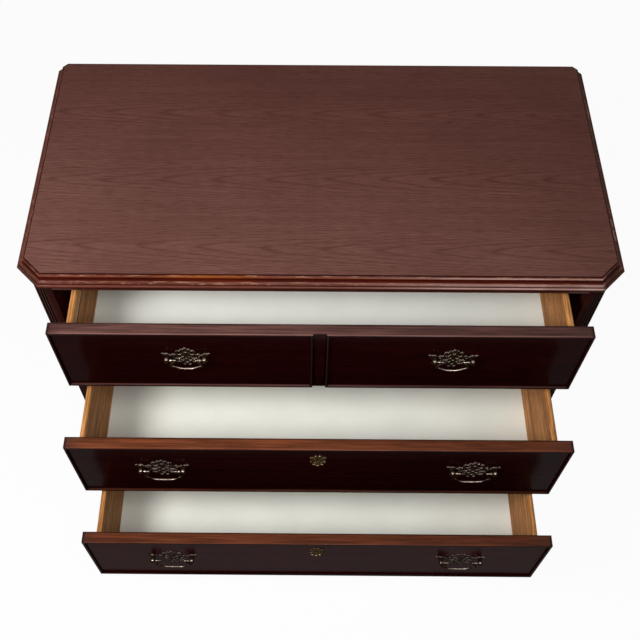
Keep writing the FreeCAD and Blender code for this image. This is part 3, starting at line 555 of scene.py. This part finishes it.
def grooved_oak(g, base, fibre):
    """The top drawer's left side: painted light on the wood above its groove, a painted highlight on its
    arris and painted shade in its hollow.
    """
    height = g.axis("Z")
    toned = oak_edges(g, base, fibre)
    above = g.band(height, GROOVE_HIGH, GROOVE_HIGH + ABOVE_GROOVE_RISE)
    above = g.times(above, g.band(g.facing("Z"), *ABOVE_GROOVE_UPRIGHT))
    toned = g.mix(g.times(above, ABOVE_GROOVE_SHARE), toned, ABOVE_GROOVE_LIT)
    arris_low = GROOVE_HIGH + GROOVE_ARRIS_START
    arris_high = GROOVE_HIGH + GROOVE_ARRIS_END
    toned = g.mix(g.hump(height, arris_low, arris_high, GROOVE_ARRIS_SOFT), toned, GROOVE_ARRIS_HIGHLIGHT)
    hollow = g.hump(height, GROOVE_LOW, GROOVE_HIGH, GROOVE_SOFT)
    hollow = g.times(hollow, g.band(g.axis("X"), GROOVE_FACE, GROOVE_FACE - GROOVE_SOFT))
    return g.mix(hollow, toned, GROOVE_SHADE)


# Painted panels
MOTTLE_TEXTURE = dict(scale=9.0, detail=4.0, rough=0.6)
MOTTLE_LIMITS = (0.3, 0.7)
PANEL_ROUGH = (0.5, 0.62)
PANEL_SPECULAR = 0.25
MARK_TEXTURE = dict(stretch=(1, 0.25, 1), scale=60.0, detail=4.0, rough=0.7, distortion=0.6)
MARK_LIMITS = (0.62, 0.78)
MARK_SHARE = 0.14
MARK = (0.45, 0.40, 0.33)
MARK_BUMP = dict(strength=0.1, distance=0.0002)


def painted_panel(name, light, dark):
    """Thin off-white board with faint mottling and scuff marks."""
    g = Graph(name)
    mottle = g.texture(**MOTTLE_TEXTURE)
    mark = g.texture(**MARK_TEXTURE)
    base = g.ramp(mottle, list(zip(MOTTLE_LIMITS, (dark, light))))
    base = g.mix(g.times(g.band(mark, *MARK_LIMITS), MARK_SHARE), base, MARK)
    g.set(Base_Color=base, Specular_IOR_Level=PANEL_SPECULAR)
    g.set(Roughness=g.ramp(mottle, list(zip(MOTTLE_LIMITS, PANEL_ROUGH))))
    g.bump(mark, **MARK_BUMP)
    return g.material


# Brass and steel
PATINA_TEXTURE = dict(scale=160.0, detail=5.0, rough=0.65)
SPECK_TEXTURE = dict(scale=600.0, detail=3.0, rough=0.6)
TOUCH_AND_GLINT_TEXTURE = dict(scale=230.0, detail=2.0, rough=0.5)
DULL_LIMITS = (0.35, 0.7)
# Dark and barely metallic: the brass's patina, and also painted dark reflection on the flats.
DULL_BRASS = ((0.006, 0.0030, 0.0013), (0.027, 0.0145, 0.0066))
DULL_GILT = ((0.022, 0.0110, 0.0022), (0.065, 0.036, 0.0085))
# Bright metal where faces look up or edges turn to the front: partly wear, partly painted highlights and
# glints.
WORN_AND_LIT_LIMITS = (0.3, 0.7)
WORN_AND_LIT_LEAST = 0.52
WORN_AND_LIT_BRASS = (1.0, 0.79, 0.66)
WORN_AND_LIT_GILT = (1.0, 0.77, 0.52)
# Painted falloff: the bright metal is painted dimmer on the lower drawers, as the light falls off.
BRIGHT_FALLOFF = {"top_drawer": 0.92, "middle_drawer": 0.72, "bottom_drawer": 0.42}
PLATE_BEVEL = (-0.99, -0.88)
PLATE_UPWARD = (0.05, 0.30)
TOUCH_AND_GLINT_LIMITS = (0.37, 0.50)
SPECK_LIMITS = (0.75, 0.45)
BAIL_UPWARD = (0.62, 0.99)
POST_UPWARD = (0.80, 0.99)
BALL_LENGTH = 0.0105
BALL_SHARE_FROM = 0.8
BALL_SHARE_FULL = 0.5
METAL_LEAST = 0.1
METAL_MORE = 0.9
PLATE_METAL_MORE = 0.68
DULL_ROUGH = 0.45
WORN_AND_LIT_ROUGH = 0.26
BRASS_BUMP = dict(strength=0.15, distance=0.0004)
BRUSH_TEXTURE = dict(stretch=(1, 1, 0.2), scale=600.0, detail=3.0, rough=0.6)
BRUSH_LIMITS = (0.3, 0.7)
STEEL = ((0.30, 0.29, 0.28), (0.46, 0.45, 0.44))
STEEL_ROUGH = (0.35, 0.5)


def aged_brass(name, bright_falloff, plate=False, tip=None, gilt=False):
    """Old brass: dark patina, and bright metal on faces that look up, partly wear and partly painted
    highlights. tip is the front of a post's ball.
    """
    g = Graph(name)
    patina = g.texture(**PATINA_TEXTURE)
    dull = g.ramp(patina, list(zip(DULL_LIMITS, DULL_GILT if gilt else DULL_BRASS)))
    worn_and_lit = shade(WORN_AND_LIT_GILT if gilt else WORN_AND_LIT_BRASS, bright_falloff)
    bright = g.ramp(patina, list(zip(WORN_AND_LIT_LIMITS, (shade(worn_and_lit, WORN_AND_LIT_LEAST), worn_and_lit))))
    if plate:
        edge = g.times(g.band(g.facing("Y"), *PLATE_BEVEL), g.band(g.facing("Z"), *PLATE_UPWARD))
        worn_and_lit_mask = g.times(edge, g.band(g.texture(**TOUCH_AND_GLINT_TEXTURE), *TOUCH_AND_GLINT_LIMITS))
    else:
        upward = g.band(g.facing("Z"), *(BAIL_UPWARD if tip is None else POST_UPWARD))
        worn_and_lit_mask = g.times(upward, g.band(g.texture(**SPECK_TEXTURE), *SPECK_LIMITS))
    if tip is not None:
        ball = g.band(g.axis("Y"), tip + BALL_SHARE_FROM * BALL_LENGTH, tip + BALL_SHARE_FULL * BALL_LENGTH)
        worn_and_lit_mask = g.times(worn_and_lit_mask, ball)
    metal_more = PLATE_METAL_MORE if plate and not gilt else METAL_MORE
    g.set(Base_Color=g.mix(worn_and_lit_mask, dull, bright), Specular_IOR_Level=0.0)
    g.set(Metallic=g.math("MULTIPLY_ADD", worn_and_lit_mask, metal_more, METAL_LEAST))
    g.set(Roughness=g.ramp(worn_and_lit_mask, [(0.0, DULL_ROUGH), (1.0, WORN_AND_LIT_ROUGH)]))
    g.bump(patina, **BRASS_BUMP)
    return g.material


def plain_steel(name):
    g = Graph(name)
    brush = g.texture(**BRUSH_TEXTURE)
    g.set(Base_Color=g.ramp(brush, list(zip(BRUSH_LIMITS, STEEL))), Metallic=1.0)
    g.set(Roughness=g.ramp(brush, list(zip(BRUSH_LIMITS, STEEL_ROUGH))))
    return g.material


# Materials. The tones of each wood are dark, middle and light.
TOP = ((0.073, 0.0268, 0.0200), (0.119, 0.0505, 0.0400), (0.169, 0.080, 0.0640))
EDGE = ((0.060, 0.0140, 0.0088), (0.100, 0.0265, 0.0170), (0.144, 0.041, 0.026))
MAHOGANY = ((0.036, 0.0084, 0.0056), (0.078, 0.0190, 0.0120), (0.133, 0.036, 0.022))
# The posts' tones are about a third of the mahogany's, partly as painted shade under the top's overhang.
POST = ((0.013, 0.0026, 0.0018), (0.026, 0.0057, 0.0039), (0.046, 0.0115, 0.0077))
FRONT = ((0.006, 0.0006, 0.0005), (0.011, 0.0011, 0.0008), (0.022, 0.0028, 0.0020))
FRONT_LOW = ((0.0108, 0.0006, 0.0005), (0.0198, 0.0011, 0.0008), (0.0396, 0.0028, 0.0020))
OAK = ((0.20, 0.068, 0.016), (0.45, 0.180, 0.050), (0.64, 0.290, 0.092))
# The inner wood is made dark, as painted shade inside the case.
INNER = ((0.05, 0.022, 0.010), (0.09, 0.045, 0.022), (0.14, 0.08, 0.04))
BACK = ((0.10, 0.055, 0.03), (0.14, 0.08, 0.045), (0.18, 0.11, 0.06))

TOP_GRAIN = dict(leaf=0.153, middle=-0.195, tilt=0.16, spacing=0.0150, ring=0.36, fibre_share=0.22,
                 dash_share=0.26, spread=0.17, pore=0.6, rough=(0.38, 0.5), specular=0.04)
EDGE_GRAIN = dict(ring=0, rough=(0.22, 0.34), specular=0.0, coat=0.10, coat_rough=0.06)
FRONT_GRAIN = dict(leaf=0.24, middle=0.46, spacing=0.007, ring=0.3, rough=(0.2, 0.3), specular=0.0)
BEAD_GRAIN = dict(ring=0, rough=(0.2, 0.3), specular=0.0, coat=0.12, coat_rough=0.12)
OAK_GRAIN = dict(leaf=0.4, pith=0.05, tilt=0.03, spacing=0.009, ring=0.22, fibre_share=0.42,
                 dash_share=0.1, spread=0.055, pore=1.0, rough=(0.5, 0.65), specular=0.1)
RAW_GRAIN = dict(rough=(0.6, 0.8), specular=0.1)

MIDDLE_BEAD = (0.130, 0.0349, 0.0134)
BOTTOM_BEAD = (0.115, 0.0305, 0.0125)
middle_drawer_faces = upper_faces(MIDDLE_BEAD, "middle_drawer_beads", low_share=0.25, arris_share=0.25)
bottom_drawer_faces = upper_faces(BOTTOM_BEAD, "bottom_drawer_beads", low_share=0.0, arris_share=0.2)

top_wood = wood("top_wood", TOP, "X", "Y", top_field, **TOP_GRAIN)
edge_x = wood("edge_x", EDGE, "X", "Z", moulded_edge, **EDGE_GRAIN)
edge_y = wood("edge_y", EDGE, "Y", "Z", moulded_edge, **EDGE_GRAIN)
mahogany_x = wood("mahogany_x", MAHOGANY, "X", "Z", specular=0.05, coat=0.06)
side_wood = wood("side_wood", MAHOGANY, "Z", "Y", leaf=0.26, middle=0.02, specular=0.15, coat=0.15)
post_wood = wood("post_wood", POST, "Z", "X", fluted_face, ring=0, specular=0.0, coat=0.02)
foot_wood = wood("foot_wood", MAHOGANY, "X", "Z", specular=0.15, coat=0.15)
front_x = wood("front_x", FRONT, "X", "Z", coat=0.05, coat_rough=0.16, **FRONT_GRAIN)
front_mid = wood("front_mid", FRONT, "X", "Z", coat=0.075, coat_rough=0.18, **FRONT_GRAIN)
front_low = wood("front_low", FRONT_LOW, "X", "Z", coat=0.084, coat_rough=0.24, **FRONT_GRAIN)
bead_upper = wood("bead_upper", FRONT, "X", "Z", beside_stile, **BEAD_GRAIN)
bead_lower = wood("bead_lower", FRONT, "X", "Z", middle_drawer_faces, **BEAD_GRAIN)
bead_lowest = wood("bead_lowest", FRONT, "X", "Z", bottom_drawer_faces, **BEAD_GRAIN)
oak_y = wood("oak_y", OAK, "Y", "Z", oak_edges, **OAK_GRAIN)
oak_left = wood("oak_left", OAK, "Y", "Z", grooved_oak, **OAK_GRAIN)
oak_x = wood("oak_x", OAK, "X", "Z", **OAK_GRAIN)
inner_y = wood("inner_y", INNER, "Y", "X", **RAW_GRAIN)
inner_x = wood("inner_x", INNER, "X", "Y", **RAW_GRAIN)
back_wood = wood("back_wood", BACK, "Z", "X", leaf=0.3, spacing=0.012, **RAW_GRAIN)
# The top drawer's bottom is a lighter copy of the same board, as painted light.
panel_lit_copy = painted_panel("panel_lit_copy", light=(0.91, 0.905, 0.82), dark=(0.84, 0.835, 0.755))
panel_white = painted_panel("panel_white", light=(0.85, 0.845, 0.76), dark=(0.78, 0.775, 0.695))
steel = plain_steel("steel")

MATERIALS = {
    "top_panel": top_wood,
    "top_edge_front": edge_x,
    "top_edge_back": edge_x,
    "top_edge_corners": edge_x,
    "top_edge_sides": edge_y,
    "top_rail": mahogany_x,
    "upper_rail": mahogany_x,
    "lower_rail": mahogany_x,
    "bottom_rail": mahogany_x,
    "base_moulding": mahogany_x,
    "rear_rails": inner_x,
    "base_board": inner_x,
    "drawer_stops": inner_x,
    "drawer_runners": inner_y,
    "drawer_guides": inner_y,
    "foot_blocks": inner_y,
    "top_cleats": inner_y,
    "top_screws": steel,
    "back_panel": back_wood,
    "top_drawer_centre_stile": bead_upper,
    "top_drawer_beads": bead_upper,
    "middle_drawer_beads": bead_lower,
    "bottom_drawer_beads": bead_lowest,
    "top_drawer_front": front_x,
    "middle_drawer_front": front_mid,
    "bottom_drawer_front": front_low,
    "top_drawer_bottom": panel_lit_copy,
    "middle_drawer_bottom": panel_white,
    "bottom_drawer_bottom": panel_white,
}
for side in SIDES:
    MATERIALS["corner_post_" + side] = post_wood
    MATERIALS["side_panel_" + side] = side_wood
    MATERIALS["foot_front_" + side] = foot_wood
    MATERIALS["foot_rear_" + side] = foot_wood
for drawer in DRAWERS:
    bright_falloff = BRIGHT_FALLOFF[drawer]
    ball_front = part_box(drawer + "_pull_posts")[0][1]
    bail_brass = aged_brass(drawer + "_bail_brass", bright_falloff)
    MATERIALS[drawer + "_bail_left"] = bail_brass
    MATERIALS[drawer + "_bail_right"] = bail_brass
    MATERIALS[drawer + "_pull_plates"] = aged_brass(drawer + "_plate_brass", bright_falloff, plate=True)
    MATERIALS[drawer + "_pull_posts"] = aged_brass(drawer + "_post_brass", bright_falloff, tip=ball_front)
    MATERIALS[drawer + "_back"] = oak_x
    MATERIALS[drawer + "_side_left"] = oak_y
    MATERIALS[drawer + "_side_right"] = oak_y
MATERIALS["top_drawer_side_left"] = oak_left
for drawer in DRAWERS[1:]:
    key_brass = aged_brass(drawer + "_key_brass", BRIGHT_FALLOFF[drawer], plate=True, gilt=True)
    MATERIALS[drawer + "_escutcheon"] = key_brass

for node_name, obj in nodes.items():
    obj.data.materials.clear()
    obj.data.materials.append(MATERIALS[node_name])


# Pieces that stand for CAD nodes
WELD_DISTANCE = 1e-6
FLAT_ANGLE = math.radians(0.5)
SHARP_ANGLE = math.radians(35.0)
EASED_SHADING_ANGLE = math.radians(20.0)
CAST_SHADING_ANGLE = math.radians(50.0)
EASED_STEPS = 2
ROUND_PROFILE = 0.5
TURNED_SIDES = 20


def softened(name, width):
    """A copy of a node with its sharp edges eased to a small round."""
    mesh = nodes[name].data.copy()
    mesh.name = name + "_eased"
    work = bmesh.new()
    work.from_mesh(mesh)
    bmesh.ops.remove_doubles(work, verts=work.verts, dist=WELD_DISTANCE)
    bmesh.ops.dissolve_limit(work, angle_limit=FLAT_ANGLE, verts=work.verts, edges=work.edges)
    sharp = [e for e in work.edges if len(e.link_faces) == 2 and e.calc_face_angle() > SHARP_ANGLE]
    bmesh.ops.bevel(work, geom=sharp, offset=width, offset_type="OFFSET", segments=EASED_STEPS,
                    profile=ROUND_PROFILE, affect="EDGES", clamp_overlap=True)
    for vert in work.verts:
        vert.co.z = max(vert.co.z, 0.0)
    for face in work.faces:
        face.smooth = True
    work.to_mesh(mesh)
    work.free()
    mesh.set_sharp_from_angle(angle=EASED_SHADING_ANGLE)
    piece = bpy.data.objects.new(name + "_eased", mesh)
    scene.collection.objects.link(piece)
    mesh.materials.clear()
    mesh.materials.append(MATERIALS[name])
    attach(piece, node_body[name])
    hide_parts(name)


def turned(work, centre, profile):
    """Add a solid of revolution about X to a bmesh; the profile is (x, radius) from end to end."""
    loops = []
    for x, radius in profile:
        loop = []
        for i in range(TURNED_SIDES):
            angle = 2 * math.pi * i / TURNED_SIDES
            offset = Vector((x, radius * math.cos(angle), radius * math.sin(angle)))
            loop.append(work.verts.new(centre + offset))
        loops.append(loop)
    for a, b in zip(loops, loops[1:]):
        for i in range(TURNED_SIDES):
            j = (i + 1) % TURNED_SIDES
            work.faces.new((a[i], a[j], b[j], b[i]))
    work.faces.new(list(reversed(loops[0])))
    work.faces.new(loops[-1])


BAIL_RADIUS = 0.0016
BAIL_ROUNDNESS = 4
BAIL_STEPS = 6
PIN_PAST_CENTRE = 0.0035
BALL_AND_GAP = 0.0053
COLLAR_LENGTH = 0.003
NECK_REACH = 0.0065
SHOULDER_OUT = 0.0098
FOOT_INSET = 0.0158
SHOULDER_SHARE = 0.6


def bail_line(half_bore, drop):
    """Control points (x, z, thickness) of a swan-neck bail's right half, from its collar to its middle."""
    collar = half_bore - BALL_AND_GAP - COLLAR_LENGTH
    neck = collar - NECK_REACH
    out = neck + SHOULDER_OUT
    foot = out - FOOT_INSET
    level = SHOULDER_SHARE * drop
    return [
        (collar + 0.001, 0.0, 1.0), (neck + 0.0045, 0.0, 0.9), (neck - 0.0008, 0.0002, 0.85),
        (neck - 0.0005, -0.0035, 0.8), ((neck + out) / 2 + 0.0008, -0.55 * level, 0.85),
        (out + 0.0010, -level + 0.0010, 1.2), (out - 0.0002, -level - 0.0022, 1.4),
        (out - 0.0045, -level - 0.0042, 0.9), (foot + 0.004, -drop + 0.0022, 0.95),
        (foot - 0.003, -drop - 0.0004, 1.1), (0.0, -drop - 0.0006, 1.25),
    ]


def bail_bar(name, pivot, points):
    """The mesh of a bail's bar, swept along a smooth line."""
    data = bpy.data.curves.new(name + "_line", "CURVE")
    data.dimensions = "3D"
    data.bevel_depth = BAIL_RADIUS
    data.bevel_resolution = BAIL_ROUNDNESS
    data.resolution_u = BAIL_STEPS
    data.use_fill_caps = True
    spline = data.splines.new("NURBS")
    spline.points.add(len(points) - 1)
    for point, (x, z, thickness) in zip(spline.points, points):
        point.co = (pivot.x + x, pivot.y, pivot.z + z, 1.0)
        point.radius = thickness
    spline.order_u = 3
    spline.use_endpoint_u = True
    line = bpy.data.objects.new(name + "_line", data)
    scene.collection.objects.link(line)
    bar = bpy.data.meshes.new_from_object(line.evaluated_get(bpy.context.evaluated_depsgraph_get()))
    bpy.data.objects.remove(line)
    bpy.data.curves.remove(data)
    return bar


def bail_piece(name):
    """A cast bail: a swan-neck bar that swells at its shoulders and middle, with turned collars and pins."""
    pivot = Vector([j for j in frame["joints"] if j["child"] == name][0]["pos_m"])
    low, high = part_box(name)
    half_bore = (high[0] - low[0]) / 2 - PIN_PAST_CENTRE
    drop = pivot.z - low[2] - BAIL_RADIUS
    right = bail_line(half_bore, drop)
    bar = bail_bar(name, pivot, right + [(-x, z, thickness) for x, z, thickness in reversed(right[:-1])])
    work = bmesh.new()
    work.from_mesh(bar)
    bpy.data.meshes.remove(bar)
    outer = half_bore - BALL_AND_GAP
    inner = outer - COLLAR_LENGTH
    pin_end = half_bore + PIN_PAST_CENTRE
    collar = [
        (inner - 0.0012, 0.0019), (inner - 0.0008, 0.0025), (inner + 0.0004, 0.0028),
        (inner + 0.0012, 0.0023), (outer - 0.0012, 0.0023), (outer - 0.0006, 0.0029),
        (outer - 0.0002, 0.0028), (outer, 0.0022),
    ]
    pin = [(outer - 0.0005, 0.0016), (pin_end - 0.0003, 0.0016), (pin_end, 0.0013)]
    for profile in (collar, pin):
        turned(work, pivot, profile)
        turned(work, pivot, [(-x, radius) for x, radius in reversed(profile)])
    for face in work.faces:
        face.smooth = True
    mesh = bpy.data.meshes.new(name + "_cast")
    work.to_mesh(mesh)
    work.free()
    mesh.set_sharp_from_angle(angle=CAST_SHADING_ANGLE)
    mesh.materials.append(MATERIALS[name])
    piece = bpy.data.objects.new(name + "_cast", mesh)
    scene.collection.objects.link(piece)
    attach(piece, node_body[name])
    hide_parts(name)


PLATE_EASING = 0.00055
KEY_PLATE_EASING = 0.00045
POST_EASING = 0.0005
FOOT_EASING = 0.0008
for drawer in DRAWERS:
    for side in SIDES:
        bail_piece(f"{drawer}_bail_{side}")
for drawer in DRAWERS:
    softened(drawer + "_pull_plates", PLATE_EASING)
for drawer in DRAWERS[1:]:
    softened(drawer + "_escutcheon", KEY_PLATE_EASING)
for side in SIDES:
    softened("corner_post_" + side, POST_EASING)
    softened("foot_front_" + side, FOOT_EASING)
    softened("foot_rear_" + side, FOOT_EASING)


# Floor, light and camera
WHITE = (1, 1, 1, 1)
FLOOR_REACH = 14.0
FLOOR_GREY = (0.86, 0.86, 0.86, 1)
FLOOR_WHITE_SHARE = 0.95
WORLD_LIGHT = 0.15
LAMPS = {
    "key": dict(place=(-1.04, -0.92, 1.75), target=(0.0, -0.25, 0.6), size=0.55, watts=24.0),
    "fill": dict(place=(0.15, -1.0, 1.9), target=(0.0, -0.25, 0.5), size=0.6, watts=11.2),
}
FRAME_PIXELS = 640.0
FOCAL_PIXELS = 909.9
CENTRE_PIXELS = (303.3, 322.6)
CAMERA_PLACE = Vector((-0.02087, -1.09447, 2.01769))
CAMERA_PITCH = math.radians(57.937)
CAMERA_YAW = math.radians(-0.472)
SENSOR_WIDTH = 36.0


def seen_share(tree, share):
    """A value that is share for camera, glossy and transmission rays, and 0 for the rest."""
    path = tree.nodes.new("ShaderNodeLightPath")
    total = path.outputs["Is Camera Ray"]
    for ray in ("Is Glossy Ray", "Is Transmission Ray"):
        add = tree.nodes.new("ShaderNodeMath")
        add.operation = "ADD"
        add.use_clamp = True
        tree.links.new(total, add.inputs[0])
        tree.links.new(path.outputs[ray], add.inputs[1])
        total = add.outputs[0]
    scale = tree.nodes.new("ShaderNodeMath")
    scale.operation = "MULTIPLY"
    scale.inputs[1].default_value = share
    tree.links.new(total, scale.inputs[0])
    return scale.outputs[0]


def stage_floor():
    """A wide pale floor that shows nearly white and still takes a faint shadow."""
    mesh = bpy.data.meshes.new("studio_floor")
    r = FLOOR_REACH
    mesh.from_pydata([(-r, -r, 0), (r, -r, 0), (r, r, 0), (-r, r, 0)], [], [(0, 1, 2, 3)])
    floor = bpy.data.objects.new("studio_floor", mesh)
    scene.collection.objects.link(floor)
    material = bpy.data.materials.new("studio_white")
    material.use_nodes = True
    tree = material.node_tree
    tree.nodes.clear()
    diffuse = tree.nodes.new("ShaderNodeBsdfDiffuse")
    diffuse.inputs["Color"].default_value = FLOOR_GREY
    glow = tree.nodes.new("ShaderNodeEmission")
    glow.inputs["Strength"].default_value = 1.0
    blend = tree.nodes.new("ShaderNodeMixShader")
    tree.links.new(seen_share(tree, FLOOR_WHITE_SHARE), blend.inputs["Fac"])
    tree.links.new(diffuse.outputs["BSDF"], blend.inputs[1])
    tree.links.new(glow.outputs["Emission"], blend.inputs[2])
    out = tree.nodes.new("ShaderNodeOutputMaterial")
    tree.links.new(blend.outputs["Shader"], out.inputs["Surface"])
    mesh.materials.append(material)


def area_lamp(name, place, target, size, watts):
    data = bpy.data.lights.new(name, "AREA")
    data.size = size
    data.energy = watts
    lamp = bpy.data.objects.new(name, data)
    scene.collection.objects.link(lamp)
    lamp.location = place
    aim = Vector(target) - Vector(place)
    lamp.rotation_euler = aim.to_track_quat("-Z", "Y").to_euler()


def studio_light():
    """A weak world that looks white, and two soft lamps."""
    world = bpy.data.worlds.new("studio")
    world.use_nodes = True
    tree = world.node_tree
    back = tree.nodes["Background"]
    back.inputs["Color"].default_value = WHITE
    back.inputs["Strength"].default_value = WORLD_LIGHT
    clear = tree.nodes.new("ShaderNodeBackground")
    clear.inputs["Color"].default_value = WHITE
    clear.inputs["Strength"].default_value = 1.0
    blend = tree.nodes.new("ShaderNodeMixShader")
    tree.links.new(seen_share(tree, 1.0), blend.inputs["Fac"])
    tree.links.new(back.outputs["Background"], blend.inputs[1])
    tree.links.new(clear.outputs["Background"], blend.inputs[2])
    tree.links.new(blend.outputs["Shader"], tree.nodes["World Output"].inputs["Surface"])
    scene.world = world
    for name, settings in LAMPS.items():
        area_lamp(name, **settings)


def photo_camera():
    """A camera at the photo's place, worked out from points measured in the photo."""
    right = Vector((math.cos(CAMERA_YAW), -math.sin(CAMERA_YAW), 0))
    level = math.cos(CAMERA_PITCH)
    ahead = Vector((math.sin(CAMERA_YAW) * level, math.cos(CAMERA_YAW) * level, -math.sin(CAMERA_PITCH)))
    down = ahead.cross(right)
    data = bpy.data.cameras.new("photo_camera")
    data.sensor_width = SENSOR_WIDTH
    data.lens = FOCAL_PIXELS / FRAME_PIXELS * SENSOR_WIDTH
    data.shift_x = (FRAME_PIXELS / 2 - CENTRE_PIXELS[0]) / FRAME_PIXELS
    data.shift_y = (CENTRE_PIXELS[1] - FRAME_PIXELS / 2) / FRAME_PIXELS
    camera = bpy.data.objects.new("photo_camera", data)
    scene.collection.objects.link(camera)
    turn = Matrix((right, -down, -ahead)).transposed().to_4x4()
    camera.matrix_world = Matrix.Translation(CAMERA_PLACE) @ turn
    scene.camera = camera


stage_floor()
studio_light()
photo_camera()
scene.view_settings.view_transform = "Standard"
